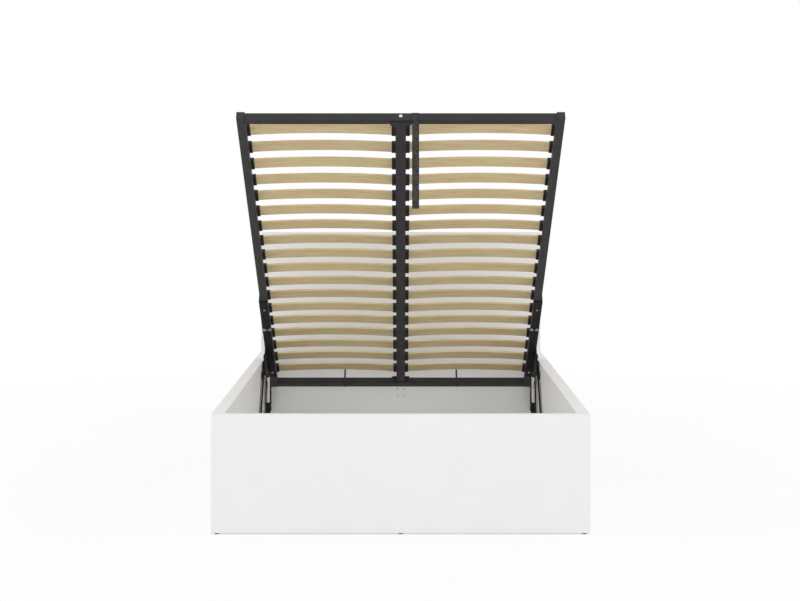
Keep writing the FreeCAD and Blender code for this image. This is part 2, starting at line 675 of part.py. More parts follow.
def arc_band(sketch, side, inner, outer, start, finish):
    # A band between two arcs about one centre, cut off by upright lines at start and finish.
    centre = V(side * value(slat_centre_x), value(arc_centre_z), 0)
    low_r, high_r = value(inner), value(outer)
    ends = sorted((side * value(start), side * value(finish)))
    corner = {}
    for name, radius in (("low", low_r), ("high", high_r)):
        for which, x in zip(("near", "far"), ends):
            corner[name, which] = V(x, centre.y + math.sqrt(radius**2 - (x - centre.x)**2), 0)
    arcs = {}
    for name, radius in (("low", low_r), ("high", high_r)):
        first, last = corner[name, "far"] - centre, corner[name, "near"] - centre
        whole = Part.Circle(centre, V(0, 0, 1), radius)
        arcs[name] = sketch.addGeometry(
            Part.ArcOfCircle(whole, math.atan2(first.y, first.x), math.atan2(last.y, last.x)))
    near = sketch.addGeometry(Part.LineSegment(corner["low", "near"], corner["high", "near"]))
    far = sketch.addGeometry(Part.LineSegment(corner["high", "far"], corner["low", "far"]))
    for first, second in (((arcs["low"], 2), (near, 1)), ((near, 2), (arcs["high"], 2)),
                          ((arcs["high"], 1), (far, 1)), ((far, 2), (arcs["low"], 1))):
        sketch.addConstraint(Sketcher.Constraint("Coincident", *first, *second))
    sketch.addConstraint(Sketcher.Constraint("Coincident", arcs["low"], 3, arcs["high"], 3))
    sketch.addConstraint(Sketcher.Constraint("Vertical", near))
    sketch.addConstraint(Sketcher.Constraint("Vertical", far))
    pin_point(sketch, (arcs["low"], 3), f"{side} * {slat_centre_x}", arc_centre_z)
    for arc, radius in ((arcs["low"], inner), (arcs["high"], outer)):
        bound = sketch.addConstraint(Sketcher.Constraint("Radius", arc, value(radius)))
        sketch.setExpression(f"Constraints[{bound}]", radius)
    near_x, far_x = (start, finish) if side * value(start) < side * value(finish) else (finish, start)
    measure(sketch, "DistanceX", ORIGIN, (near, 1), f"{side} * ({near_x})")
    measure(sketch, "DistanceX", ORIGIN, (far, 1), f"{side} * ({far_x})")


def row_of(body, sketch, originals):
    # Repeats features along the rail, once for each slat.
    pattern = body.newObject("PartDesign::LinearPattern", body.Name + "_row")
    pattern.Originals = originals
    pattern.Direction = (sketch, ["N_Axis"])
    pattern.setExpression("Length", "Sizes.slat_pitch * (Sizes.slat_count - 1)")
    pattern.setExpression("Occurrences", sz("slat_count"))
    body.Tip = pattern
    doc.recompute()
    return body


first_slat = "Sizes.slat_head_margin"


def slat_column(label, side):
    body = new_body(label, frame_pose)
    sketch = new_sketch(body, "XZ_Plane", first_slat)
    arc_band(sketch, side, sz("slat_radius"), "Sizes.slat_radius + Sizes.slat_thickness",
             sz("slat_inner"), sz("slat_outer"))
    slat = pad(body, sketch, sz("slat_width"), both_ways=True)
    return node(row_of(body, sketch, [slat]), label)


slat_column("left_slats", -1)
slat_column("right_slats", 1)


def holder_row(label, corners, pockets):
    # A row of moulded holders of one outline; each pocket is (side, start, finish) of a slat's end.
    body = new_body(label, frame_pose)
    sketch = new_sketch(body, "XZ_Plane", first_slat)
    outline(sketch, corners)
    length = "Sizes.slat_width + 2 * (Sizes.slat_clearance + Sizes.holder_side)"
    features = [pad(body, sketch, length, both_ways=True)]
    for side, start, finish in pockets:
        cut = new_sketch(body, "XZ_Plane", first_slat)
        arc_band(cut, side, "Sizes.slat_radius - Sizes.slat_clearance",
                 "Sizes.slat_radius + Sizes.slat_thickness + Sizes.slat_clearance", start, finish)
        features.append(pocket(body, cut, "Sizes.slat_width + 2 * Sizes.slat_clearance", both_ways=True))
    return row_of(body, sketch, features)


holder_base = sz("tube_size")
holder_lip = "Sizes.tube_size + Sizes.holder_lip_rise"
holder_top = "Sizes.tube_size + Sizes.holder_height"

# The rail holders stand on the rail and reach a little past its inner face
holder_mouth = "Sizes.rail_outer - Sizes.tube_size - Sizes.holder_reach"
holder_back = f"-({holder_mouth}) - Sizes.holder_depth"
left_holders = holder_row(
    "left_slat_holders",
    [(holder_back, holder_base), (f"-({rail_inner})", holder_base), (f"-({rail_inner})", holder_lip),
     (f"-({holder_mouth})", holder_lip), (f"-({holder_mouth})", holder_top), (holder_back, holder_top)],
    [(-1, f"{holder_mouth} - Sizes.holder_wall", "Sizes.slat_outer + Sizes.slat_clearance")])
node(left_holders, "left_slat_holders")
mirrored(left_holders, "right_slat_holders")

# The centre holders stand on the beam and take a slat end from each side
beam_half = "Sizes.beam_width / 2"
centre_half = "Sizes.beam_width / 2 + Sizes.centre_holder_reach"
centre_pocket = ("Sizes.slat_inner - Sizes.slat_clearance", f"{centre_half} + Sizes.holder_wall")
centre_holders = holder_row(
    "centre_slat_holders",
    [(f"-{beam_half}", holder_base), (beam_half, holder_base), (beam_half, holder_lip),
     (centre_half, holder_lip), (centre_half, holder_top), (f"-({centre_half})", holder_top),
     (f"-({centre_half})", holder_lip), (f"-{beam_half}", holder_lip)],
    [(-1, *centre_pocket), (1, *centre_pocket)])
node(centre_holders, "centre_slat_holders")


# Wire mattress stop on the head bar: two legs, two bends and a cross wire
def wire_hoop():
    half, top, tail, bend = size("hoop_half_width"), size("hoop_top"), size("hoop_tail"), size("hoop_bend")
    wire = size("hoop_wire")
    y = -size("tube_size") - wire
    inner = bend * (1 - math.sqrt(0.5))
    crown = top - wire
    edges = [Part.LineSegment(V(-half, y, -tail), V(-half, y, crown - bend)),
             Part.Arc(V(-half, y, crown - bend), V(-half + inner, y, crown - inner),
                      V(-half + bend, y, crown)),
             Part.LineSegment(V(-half + bend, y, crown), V(half - bend, y, crown)),
             Part.Arc(V(half - bend, y, crown), V(half - inner, y, crown - inner),
                      V(half, y, crown - bend)),
             Part.LineSegment(V(half, y, crown - bend), V(half, y, -tail))]
    path = Part.Wire([edge.toShape() for edge in edges])
    section = Part.Wire(Part.makeCircle(wire, V(-half, y, -tail), V(0, 0, 1)))
    return path.makePipeShell([section], True, False)


mattress_stop = doc.addObject("Part::Feature", "mattress_stop")
mattress_stop.Shape = wire_hoop()
mattress_stop.Placement = frame_pose
node(mattress_stop, "mattress_stop")


# Webbing pull strap: a loop round the foot bar and a tail that hangs plumb when the frame is raised
def strap_shape():
    gap, thick, width = size("strap_clearance"), size("strap_thickness"), size("strap_width")
    bar, depth, drop = size("foot_bar_width"), size("tube_size"), size("strap_drop")
    left = size("strap_offset") - width / 2
    foot = -value(foot_face)
    outer = Part.makeBox(width, bar + 2 * (gap + thick), depth + 2 * (gap + thick),
                         V(left, foot - gap - thick, -gap - thick))
    hole = Part.makeBox(3 * width, bar + 2 * gap, depth + 2 * gap, V(left - width, foot - gap, -gap))
    tail = Part.makeBox(width, thick, drop, V(0, 0, -drop))
    plumb = FreeCAD.Rotation(X_AXIS, size("raise_angle"))
    tail.Placement = FreeCAD.Placement(V(left, foot - gap - thick, -gap), plumb)
    return outer.fuse(tail).cut(hole).removeSplitter()


pull_strap = doc.addObject("Part::Feature", "pull_strap")
pull_strap.Shape = strap_shape()
pull_strap.Placement = frame_pose
node(pull_strap, "pull_strap")

# Lift bracket: an angle under and outside the rail, with a hanging cheek for the arms' upper pivots
bracket = new_body("left_lift_bracket", frame_pose)
bracket_sketch = new_sketch(bracket, "XZ_Plane", sz("bracket_start"))
web_outer = "-Sizes.rail_outer - Sizes.bracket_web"
outline(bracket_sketch, [(web_outer, "-Sizes.bracket_flange"), (f"-({rail_inner})", "-Sizes.bracket_flange"),
                         (f"-({rail_inner})", "0"), ("-Sizes.rail_outer", "0"),
                         ("-Sizes.rail_outer", sz("tube_size")), (web_outer, sz("tube_size"))])
pad(bracket, bracket_sketch, sz("bracket_length"))
lug_sketch = new_sketch(bracket, "YZ_Plane", web_outer)
outline(lug_sketch, [("-Sizes.front_pivot_along - Sizes.lug_radius", "0"),
                     ("-Sizes.front_pivot_along - Sizes.lug_radius", "-Sizes.pivot_drop"),
                     ("-Sizes.rear_pivot_along + Sizes.lug_radius", "-Sizes.pivot_drop"),
                     ("-Sizes.rear_pivot_along + Sizes.lug_radius", "0")])
pad(bracket, lug_sketch, sz("bracket_web"))
lug_end = new_sketch(bracket, "YZ_Plane", web_outer)
slot(lug_end, ("-Sizes.front_pivot_along", "-Sizes.pivot_drop"),
     ("-Sizes.rear_pivot_along", "-Sizes.pivot_drop"), sz("lug_radius"))
pad(bracket, lug_end, sz("bracket_web"))
cheek_sketch = new_sketch(bracket, "YZ_Plane", web_outer)
outline(cheek_sketch, [("-Sizes.cheek_start", "0"), ("-Sizes.cheek_tip_start", "-Sizes.cheek_tip_drop"),
                       ("-Sizes.cheek_tip_end", "-Sizes.cheek_tip_drop + Sizes.cheek_tip_slope"),
                       ("-Sizes.cheek_end", "0")])
pad(bracket, cheek_sketch, sz("bracket_web"))
pivot_cut = new_sketch(bracket, "YZ_Plane", web_outer)
circle(pivot_cut, "-Sizes.rear_pivot_along", "-Sizes.pivot_drop",
       "Sizes.pin_radius + Sizes.running_clearance")
slot(pivot_cut, ("-Sizes.front_pivot_along", "-Sizes.pivot_drop"),
     ("-Sizes.front_pivot_along + Sizes.open_slot_travel * cos(Sizes.open_slot_angle * 1 deg)",
      "-Sizes.pivot_drop - Sizes.open_slot_travel * sin(Sizes.open_slot_angle * 1 deg)"),
     "Sizes.pin_radius + Sizes.open_slot_play")
pocket(bracket, pivot_cut, "2 * Sizes.bracket_web", both_ways=True)
bolt_holes(bracket, bolt_places)
node(bracket, "left_lift_bracket")
mirrored(bracket, "right_lift_bracket")

# Bolts that hold the lift brackets to the rails
bolt_heads = (sz("small_bolt_head"), sz("large_bolt_head"), sz("large_bolt_head"), sz("small_bolt_head"))
bolts = []
for number, ((x, along), head) in enumerate(zip(bolt_places, bolt_heads)):
    for side in (1, -1):
        pose = frame_place(side * value(x), value(along), -size("bracket_flange"), UPWARD)
        bolts.append(turned(f"bracket_bolt_{number}_{'left' if side > 0 else 'right'}", pose,
                            [("-Sizes.bolt_head_height", sz("bolt_head_height"), head),
                             ("0", "Sizes.bracket_flange + Sizes.tube_wall", sz("bolt_shank"))]))
group("bracket_bolts", bolts)

# Layers of the linkage, from the side board inwards
plate_face = side_inner - size("base_plate_thickness")
arm_outer = plate_face - size("layer_gap")
arm_inner = arm_outer - size("arm_thickness")
web_face = rail_outer + size("bracket_web")
strut_plane = rail_outer - size("strut_inset")

# Base plate on the side board, with the three fixed pivots
plate_low = min(rear_base[1], front_base[1], strut_foot[1]) - size("base_plate_margin")
plate_high = max(rear_base[1], front_base[1], strut_foot[1]) + size("base_plate_margin")
plate_front = min(rear_base[0], front_base[0], strut_foot[0]) - size("base_plate_margin")
plate_rear = max(rear_base[0], front_base[0], strut_foot[0]) + size("base_plate_margin")
for alias, number, meaning in (
        ("plate_low", plate_low, "base plate's lower edge"),
        ("plate_high", plate_high, "base plate's upper edge"),
        ("plate_front", plate_front, "base plate's front edge"),
        ("plate_rear", plate_rear, "base plate's rear edge"),
        ("rear_base_y", rear_base[0], "rear arm's fixed pivot"),
        ("rear_base_z", rear_base[1], "rear arm's fixed pivot above the floor"),
        ("front_base_y", front_base[0], "front arm's fixed pivot"),
        ("front_base_z", front_base[1], "front arm's fixed pivot above the floor"),
        ("strut_foot_y", strut_foot[0], "strut's fixed pivot")):
    derive(alias, number, meaning)
doc.recompute()

base_plate = new_body("left_base_plate")
base_sketch = new_sketch(base_plate, "YZ_Plane", "-Sizes.side_inner")
rectangle(base_sketch, sz("plate_front"), sz("plate_low"), "Sizes.plate_rear - Sizes.plate_front",
          "Sizes.plate_high - Sizes.plate_low")
base_pad = pad(base_plate, base_sketch, sz("base_plate_thickness"))
round_edges(base_plate, base_pad, sz("base_plate_corner"), runs_along(X_AXIS))
base_holes = new_sketch(base_plate, "YZ_Plane", "-Sizes.side_inner")
for y, z, radius in ((sz("rear_base_y"), sz("rear_base_z"), sz("pin_radius")),
                     (sz("front_base_y"), sz("front_base_z"), sz("pin_radius")),
                     (sz("strut_foot_y"), sz("strut_foot_height"), sz("strut_pin_radius"))):
    circle(base_holes, y, z, f"{radius} + Sizes.running_clearance")
pocket(base_plate, base_holes, "2 * Sizes.base_plate_thickness", both_ways=True)
node(base_plate, "left_base_plate")
mirrored(base_plate, "right_base_plate")


def side_place(x, point, degrees=0):
    # A pose in the side plane, turned about X.
    return FreeCAD.Placement(V(x, *point), FreeCAD.Rotation(X_AXIS, degrees))


# Arms: flat bars with round ends. The front one carries an ear for the strut.
def arm(label, point, degrees, length):
    body = new_body(label, side_place(-arm_outer, point, degrees))
    sketch = new_sketch(body, "YZ_Plane")
    slot(sketch, ("0", "0"), (length, "0"), sz("arm_radius"))
    pad(body, sketch, sz("arm_thickness"))
    return body


def arm_holes(body, places):
    sketch = new_sketch(body, "YZ_Plane")
    for y, z, radius in places:
        circle(sketch, y, z, f"{radius} + Sizes.running_clearance")
    pocket(body, sketch, "3 * Sizes.arm_thickness", both_ways=True)


rear_arm = arm("left_rear_arm", rear_base, rear_angle, sz("rear_arm_length"))
arm_holes(rear_arm, [("0", "0", sz("pin_radius")), (sz("rear_arm_length"), "0", sz("pin_radius"))])
node(rear_arm, "left_rear_arm")
mirrored(rear_arm, "right_rear_arm")

front_arm = arm("left_front_arm", front_base, front_angle, sz("front_arm_length"))
ear_sketch = new_sketch(front_arm, "YZ_Plane")
slot(ear_sketch, (sz("strut_arm_along"), "0"), (sz("strut_arm_along"), sz("strut_arm_offset")),
     sz("arm_radius"))
pad(front_arm, ear_sketch, sz("arm_thickness"))
arm_holes(front_arm, [("0", "0", sz("pin_radius")), (sz("front_arm_length"), "0", sz("pin_radius")),
                      (sz("strut_arm_along"), sz("strut_arm_offset"), sz("strut_pin_radius"))])
node(front_arm, "left_front_arm")
mirrored(front_arm, "right_front_arm")


# Pivot pins, turned about X: each runs inwards from its outer end
def pin_pair(label, point, outer, steps):
    left = turned(f"{label}_left", FreeCAD.Placement(V(-outer, *point), INWARD), steps)
    right = doc.addObject("Part::Mirroring", f"{label}_right")
    right.Source = left
    right.Normal = X_AXIS
    doc.recompute()
    return [left, right]


base_pin_shank = "Sizes.base_plate_thickness + 2 * Sizes.layer_gap + Sizes.arm_thickness"
base_pin_steps = [("0", base_pin_shank, sz("pin_radius")),
                  (base_pin_shank, sz("pin_head"), sz("pin_head_radius"))]
group("arm_base_pins", pin_pair("rear_base_pin", rear_base, side_inner, base_pin_steps)
      + pin_pair("front_base_pin", front_base, side_inner, base_pin_steps))
top_pin_inner = "2 * Sizes.layer_gap + Sizes.arm_thickness + Sizes.bracket_web"
top_pin_steps = [("-Sizes.pin_head - Sizes.layer_gap", sz("pin_head"), sz("pin_head_radius")),
                 ("-Sizes.layer_gap", f"{top_pin_inner} + Sizes.layer_gap", sz("pin_radius")),
                 (top_pin_inner, sz("pin_head"), sz("pin_head_radius"))]
group("rear_arm_top_pins", pin_pair("rear_top_pin", rear_top, arm_outer, top_pin_steps))
group("front_arm_top_pins", pin_pair("front_top_pin", front_top, arm_outer, top_pin_steps))
eye_inner = strut_plane - size("strut_eye_width") / 2 - size("layer_gap")
derive("foot_pin_reach", side_inner - eye_inner, "shank of the strut's foot pin")
derive("tip_pin_reach", arm_outer - eye_inner, "shank of the strut's tip pin")
doc.recompute()
group("strut_foot_pins", pin_pair("strut_foot_pin", strut_foot, side_inner,
                                  [("0", sz("foot_pin_reach"), sz("strut_pin_radius")),
                                   (sz("foot_pin_reach"), sz("pin_head"), sz("strut_pin_head_radius"))]))
group("strut_tip_pins", pin_pair("strut_tip_pin", strut_top, arm_outer,
                                 [("0", sz("tip_pin_reach"), sz("strut_pin_radius")),
                                  (sz("tip_pin_reach"), sz("pin_head"), sz("strut_pin_head_radius"))]))


# Gas strut: the cylinder stands on the fixed pivot, the rod hangs from the front arm
def strut_pose(point):
    # Local Z along the strut, local X along the pivots.
    return side_place(-strut_plane, point, strut_angle - 90)


def eye(body, hole):
    ring = new_sketch(body, "YZ_Plane")
    circle(ring, "0", "0", sz("strut_eye_radius"))
    pad(body, ring, sz("strut_eye_width"), both_ways=True)
    bore = new_sketch(body, "YZ_Plane")
    circle(bore, "0", "0", hole)
    pocket(body, bore, "4 * Sizes.strut_eye_width", both_ways=True)


def round_step(body, start, length, radius):
    sketch = new_sketch(body, "XY_Plane", start)
    circle(sketch, "0", "0", radius)
    return pad(body, sketch, length)


cylinder = new_body("left_strut_cylinder", strut_pose(strut_foot))
tube_start = "Sizes.strut_eye_radius * 0.8"
tube_end = "Sizes.strut_closed_length - Sizes.strut_closed_reach"
round_step(cylinder, tube_start, f"{tube_end} - {tube_start}", sz("strut_tube_radius"))
bore_sketch = new_sketch(cylinder, "XY_Plane", "Sizes.strut_eye_radius * 1.6")
circle(bore_sketch, "0", "0", "Sizes.strut_tube_radius - Sizes.strut_tube_wall")
pocket(cylinder, bore_sketch, f"{tube_end} - Sizes.strut_gland - Sizes.strut_eye_radius * 1.6", back=True)
gland_sketch = new_sketch(cylinder, "XY_Plane", f"{tube_end} - 1.5 * Sizes.strut_gland")
circle(gland_sketch, "0", "0", "Sizes.strut_rod_radius + Sizes.running_clearance")
pocket(cylinder, gland_sketch, "2 * Sizes.strut_gland", back=True)
eye(cylinder, "Sizes.strut_pin_radius + Sizes.running_clearance")
node(cylinder, "left_strut_cylinder")
mirrored(cylinder, "right_strut_cylinder")

rod = new_body("left_strut_rod", strut_pose(strut_top))
rod_length = f"Sizes.strut_open_length - ({tube_end}) + Sizes.strut_guide"
round_step(rod, f"-({rod_length})", f"{rod_length} - Sizes.strut_eye_radius * 0.8", sz("strut_rod_radius"))
round_step(rod, f"-({rod_length})", sz("strut_piston"),
           "Sizes.strut_tube_radius - Sizes.strut_tube_wall - 3 * Sizes.running_clearance")
eye(rod, "Sizes.strut_pin_radius + Sizes.strut_open_play")
node(rod, "left_strut_rod")
mirrored(rod, "right_strut_rod")

# Checks before export
doc.recompute()
for obj in doc.Objects:
    if any(flag in obj.State for flag in ("Invalid", "Error")):
        raise RuntimeError(f"{obj.Name} failed: {obj.State}")
for obj in nodes:
    if obj.Shape.isNull() or not obj.Shape.isValid():
        raise RuntimeError(f"{obj.Label} has no valid shape")

print("rear base", rear_base, "angle", rear_angle, "swing", rear_swing)
print("front base", front_base, "angle", front_angle, "swing", front_swing)
print("rear top", rear_top, "front top", front_top)
print("strut foot", strut_foot, "top", strut_top, "angle", strut_angle, "swing", strut_swing)
print("strut length", strut_open_length, "to", strut_closed_length)

os.makedirs("parts", exist_ok=True)
for obj in nodes:
    obj.Shape.exportStep(os.path.join("parts", obj.Label + ".step"))
    print(obj.Label, len(obj.Shape.Solids), "solids", round(obj.Shape.Volume / 1000, 1), "cm3")
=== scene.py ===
import json
import math

import bmesh
import bpy
from mathutils import Matrix, Vector


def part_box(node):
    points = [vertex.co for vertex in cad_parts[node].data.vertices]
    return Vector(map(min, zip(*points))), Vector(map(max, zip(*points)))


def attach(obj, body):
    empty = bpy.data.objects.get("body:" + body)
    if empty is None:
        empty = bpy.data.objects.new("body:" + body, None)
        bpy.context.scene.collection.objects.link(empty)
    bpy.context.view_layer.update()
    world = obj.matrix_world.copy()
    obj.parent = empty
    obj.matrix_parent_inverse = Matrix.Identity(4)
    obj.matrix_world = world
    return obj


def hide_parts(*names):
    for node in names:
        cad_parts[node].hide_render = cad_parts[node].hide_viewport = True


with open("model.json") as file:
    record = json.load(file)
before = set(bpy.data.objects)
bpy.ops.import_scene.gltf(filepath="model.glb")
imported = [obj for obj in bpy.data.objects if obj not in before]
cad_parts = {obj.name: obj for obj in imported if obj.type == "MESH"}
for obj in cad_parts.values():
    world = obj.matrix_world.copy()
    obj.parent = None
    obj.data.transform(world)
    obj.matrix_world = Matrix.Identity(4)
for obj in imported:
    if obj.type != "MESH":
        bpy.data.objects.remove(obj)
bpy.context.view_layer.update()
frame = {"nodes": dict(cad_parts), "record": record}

# A lift-up storage bed with its slatted frame raised, as in the photo. Metres, foot end at -Y.
TILT = math.radians(35.6)
RAIL_AXIS = Vector((0, -math.cos(TILT), math.sin(TILT)))
RAIL_NORMAL = Vector((0, math.sin(TILT), math.cos(TILT)))


# Node helpers, with the middle range of a noise and the colour sockets of a Mix node
NOISE_LOW, NOISE_HIGH = 0.3, 0.7
MIX_FACTOR, MIX_FIRST, MIX_SECOND, MIX_RESULT = 0, 6, 7, 2
WHITE = (1, 1, 1, 1)


class Nodes:
    """A node tree, with short calls for adding and linking nodes."""

    def __init__(self, tree):
        self.tree = tree

    def add(self, kind, inputs=None, **settings):
        node = self.tree.nodes.new(kind)
        for key, setting in settings.items():
            setattr(node, key, setting)
        for key, source in (inputs or {}).items():
            self.feed(node.inputs[key], source)
        return node

    def feed(self, socket, source):
        # A socket takes another node's output or a plain value.
        if isinstance(source, bpy.types.NodeSocket):
            self.tree.links.new(source, socket)
        else:
            socket.default_value = source

    def math(self, operation, first, second=0.0):
        return self.add("ShaderNodeMath", {0: first, 1: second}, operation=operation).outputs["Value"]


class Shader(Nodes):
    """A material with a Principled shader, and short calls for its patterns."""

    def __init__(self, name):
        self.material = bpy.data.materials.new(name)
        self.material.use_nodes = True
        super().__init__(self.material.node_tree)
        self.principled = self.tree.nodes["Principled BSDF"]

    def set(self, **inputs):
        for key, source in inputs.items():
            self.feed(self.principled.inputs[key.replace("_", " ")], source)

    def coordinates(self):
        # Object coordinates, which follow the piece.
        return self.add("ShaderNodeTexCoord").outputs["Object"]

    def place(self, scale=(1, 1, 1)):
        # The piece's coordinates, scaled along each axis.
        scaled = self.add("ShaderNodeMapping", {"Vector": self.coordinates(), "Scale": scale})
        return scaled.outputs["Vector"]

    def noise(self, vector, scale, detail=4.0, roughness=0.5):
        inputs = {"Vector": vector, "Scale": scale, "Detail": detail, "Roughness": roughness}
        return self.add("ShaderNodeTexNoise", inputs).outputs["Fac"]

    def ramp(self, factor, stops):
        node = self.add("ShaderNodeValToRGB", {"Fac": factor})
        elements = node.color_ramp.elements
        while len(elements) < len(stops):
            elements.new(0.5)
        for element, (position, colour) in zip(elements, stops):
            element.position = position
            element.color = (*colour, 1)
        return node.outputs["Color"]

    def tones(self, factor, dark, pale):
        # Two colours over a noise's middle range.
        return self.ramp(factor, [(NOISE_LOW, dark), (NOISE_HIGH, pale)])

    def spread(self, factor, low, high):
        # Two values over a noise's middle range.
        source = {"Value": factor, "From Min": NOISE_LOW, "From Max": NOISE_HIGH}
        return self.add("ShaderNodeMapRange", {**source, "To Min": low, "To Max": high}).outputs["Result"]

    def mix(self, factor, first, second, blend_type="MIX"):
        # The first colour at a factor of 0, and the second, or their blend, at 1.
        node = self.add("ShaderNodeMix", data_type="RGBA", blend_type=blend_type)
        for index, source in ((MIX_FACTOR, factor), (MIX_FIRST, first), (MIX_SECOND, second)):
            self.feed(node.inputs[index], source)
        return node.outputs[MIX_RESULT]

    def multiply(self, first, second):
        return self.mix(1.0, first, second, "MULTIPLY")

    def inside(self, centre, half):
        # 1 within a box that is given in the piece's own coordinates, and 0 outside it.
        split = self.add("ShaderNodeSeparateXYZ", {"Vector": self.coordinates()})
        mask = 1.0
        for axis, middle, reach in zip("XYZ", centre, half):
            off = self.math("ABSOLUTE", self.math("SUBTRACT", split.outputs[axis], middle))
            mask = self.math("MULTIPLY", self.math("LESS_THAN", off, reach), mask)
        return mask

    def bump(self, height, distance):
        inputs = {"Height": height, "Distance": distance, "Strength": 1.0}
        self.set(Normal=self.add("ShaderNodeBump", inputs).outputs["Normal"])


def grey(level):
    return (level, level, level)


# Materials
def white_board(name, holes=None):
    # Matt white board: faint mottling, a very fine orange-peel surface, and raw chipboard in drilled holes.
    s = Shader(name)
    colour = s.tones(s.noise(s.place(), 9.0), (0.873, 0.873, 0.872), (0.887, 0.887, 0.886))
    if holes:
        chips = s.tones(s.noise(s.place(), 900.0), (0.05, 0.035, 0.02), (0.12, 0.08, 0.045))
        colour = s.mix(s.inside(*holes), colour, chips)
    s.set(Base_Color=colour)
    s.set(Roughness=s.spread(s.noise(s.place(), 40.0, detail=1.0), 0.48, 0.56))
    s.bump(s.noise(s.place(), 900.0, detail=0.0), 0.000002)
    return s.material


def floor_sheet():
    # White-faced hardboard with a slight grain along the bed.
    s = Shader("floor_sheet")
    mottle = s.noise(s.place((1, 0.15, 1)), 30.0)
    s.set(Base_Color=s.tones(mottle, (0.84, 0.84, 0.83), (0.88, 0.88, 0.87)))
    s.set(Roughness=s.spread(s.noise(s.place(), 25.0), 0.5, 0.65))
    s.bump(s.noise(s.place(), 600.0), 0.00005)
    return s.material


def softwood():
    # Planed pine: long rings along the piece.
    s = Shader("softwood")
    rings = s.noise(s.place((1, 0.03, 1)), 70.0, detail=6.0)
    stops = [(0.3, (0.50, 0.34, 0.18)), (0.5, (0.62, 0.45, 0.26)), (0.7, (0.70, 0.54, 0.33))]
    s.set(Base_Color=s.ramp(rings, stops))
    s.set(Roughness=s.spread(rings, 0.55, 0.7))
    s.bump(rings, 0.0002)
    return s.material


def coated_steel(name, dark, pale, grain, rough, shine):
    # Coated steel: a fine pebbled skin over slow variation.
    s = Shader(name)
    s.set(Base_Color=s.tones(s.noise(s.place(), 14.0), grey(dark), grey(pale)))
    s.set(Roughness=s.spread(s.noise(s.place(), 60.0), rough - 0.06, rough + 0.06))
    s.set(Specular_IOR_Level=shine)
    s.bump(s.noise(s.place(), grain, detail=3.0), 0.00008)
    return s.material


def moulded_plastic(name, dark, pale):
    # Black plastic with a fine spark-eroded grain.
    s = Shader(name)
    s.set(Base_Color=s.tones(s.noise(s.place(), 30.0), grey(dark), grey(pale)))
    s.set(Roughness=s.spread(s.noise(s.place(), 90.0), 0.5, 0.65), Specular_IOR_Level=0.3)
    s.bump(s.noise(s.place(), 1500.0, detail=2.0), 0.00005)
    return s.material


def zinc():
    # Zinc plating: bright metal with a cloudy, slightly brushed finish.
    s = Shader("zinc")
    cloud = s.noise(s.place(), 260.0)
    s.set(Base_Color=s.tones(cloud, (0.66, 0.66, 0.68), (0.82, 0.82, 0.84)), Metallic=1.0)
    s.set(Roughness=s.spread(s.noise(s.place((1, 1, 12)), 300.0), 0.25, 0.42))
    s.bump(s.noise(s.place(), 1200.0), 0.00003)
    return s.material


def polished_rod(eye):
    # Ground and polished rod with faint turning marks, and a black end fitting inside the box of the eye.
    s = Shader("polished_rod")
    marks = s.noise(s.place((1, 1, 30)), 200.0)
    bright = s.tones(marks, (0.80, 0.80, 0.82), (0.90, 0.90, 0.92))
    fitting = s.inside(*eye)
    black = s.tones(s.noise(s.place(), 60.0), grey(0.010), grey(0.015))
    s.set(Base_Color=s.mix(fitting, bright, black), Metallic=s.math("SUBTRACT", 1.0, fitting))
    s.set(Roughness=s.math("MAXIMUM", s.spread(marks, 0.16, 0.26), s.math("MULTIPLY", fitting, 0.55)))
    return s.material


def slat_wood():
    # Laminated beech: grain along the slat, short dark flecks, a slow blush and a tone for each slat.
    s = Shader("slat_wood")
    grain = s.noise(s.place((0.05, 1, 1)), 160.0, detail=8.0, roughness=0.6)
    stops = [(0.30, (0.52, 0.40, 0.215)), (0.5, (0.66, 0.53, 0.30)), (0.72, (0.73, 0.60, 0.355))]
    flecks = s.noise(s.place((0.12, 1, 1)), 700.0, detail=2.0)
    flecked = s.ramp(flecks, [(0.60, (1, 1, 1)), (0.70, (0.80, 0.76, 0.70))])
    slow = s.noise(s.place((0.35, 1, 1)), 16.0)
    blush = s.ramp(slow, [(0.38, (0.97, 1.0, 0.95)), (0.62, (1.0, 0.955, 0.95))])
    tinted = s.multiply(s.multiply(s.ramp(grain, stops), flecked), blush)
    slat = s.add("ShaderNodeNewGeometry").outputs["Random Per Island"]
    shade = s.add("ShaderNodeMapRange", {"Value": slat, "To Min": 0.94, "To Max": 1.05}).outputs["Result"]
    toned = s.add("ShaderNodeHueSaturation", {"Color": tinted, "Value": shade})
    s.set(Base_Color=toned.outputs["Color"])
    s.set(Roughness=s.spread(grain, 0.42, 0.58))
    s.bump(grain, 0.00012)
    return s.material


# Webbing: yarn spacing and slant, half width inside the edges, and strength of the speckle
YARN_ACROSS = 0.0071
YARN_ALONG = 0.0078
YARN_SLANT = 0.5
WEBBING_EDGE = 0.0098
WEBBING_SPECKLE = 2.4


